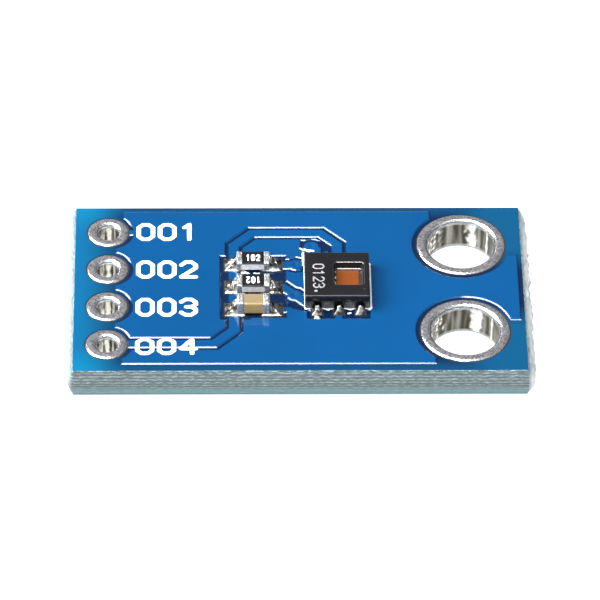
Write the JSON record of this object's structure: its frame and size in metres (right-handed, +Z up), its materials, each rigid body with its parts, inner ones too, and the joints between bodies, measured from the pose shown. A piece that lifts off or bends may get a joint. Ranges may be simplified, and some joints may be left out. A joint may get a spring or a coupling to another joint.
{
  "type": "temperature humidity sensor module",
  "caption": "Small blue circuit board with a humidity and temperature sensor, header holes on one edge and screw holes on the other.",
  "frame": {"origin": "middle of the board, on the surface that its lower tin rings rest on", "axes": "+X along the board from the header holes to the screw holes, +Y towards the ground header hole, +Z up out of the face that carries the parts"},
  "size_m": [0.0212, 0.0114, 0.0024],
  "materials": {
    "laminate": "satin",
    "copper": "satin",
    "solder_mask": "gloss",
    "white_ink": "matte",
    "tin": "satin",
    "solder": "satin",
    "alumina": "matte",
    "overglaze": "gloss",
    "capacitor_ceramic": "satin",
    "moulding_compound": "matte",
    "silicon": "gloss",
    "sensing_film": "satin",
    "lead_frame": "satin"
  },
  "bodies": {
    "root": {"laminate_core": "laminate", "ground_copper_top": "copper", "supply_copper_top": "copper", "clock_copper_top": "copper", "clock_pin_copper_top": "copper", "data_copper_top": "copper", "spare_lands_top": "copper", "ground_copper_bottom": "copper", "clock_copper_bottom": "copper", "data_copper_bottom": "copper", "solder_mask_top": "solder_mask", "solder_mask_bottom": "solder_mask", "ink_frame": "white_ink", "via_barrels": "copper", "header_barrel_ground": "tin", "header_barrel_clock": "tin", "header_barrel_data": "tin", "header_barrel_supply": "tin", "screw_barrel_back": "tin", "screw_barrel_front": "tin", "clock_resistor_body": "alumina", "clock_resistor_glaze": "overglaze", "clock_resistor_ends": "tin", "clock_resistor_solder": "solder", "data_resistor_body": "alumina", "data_resistor_glaze": "overglaze", "data_resistor_ends": "tin", "data_resistor_solder": "solder", "capacitor_body": "capacitor_ceramic", "capacitor_ends": "tin", "capacitor_solder": "solder", "sensor_body": "moulding_compound", "sensor_die": "silicon", "sensor_film": "sensing_film", "sensor_paddle": "lead_frame", "sensor_leads": "lead_frame", "sensor_solder": "solder"}
  },
  "joints": []
}
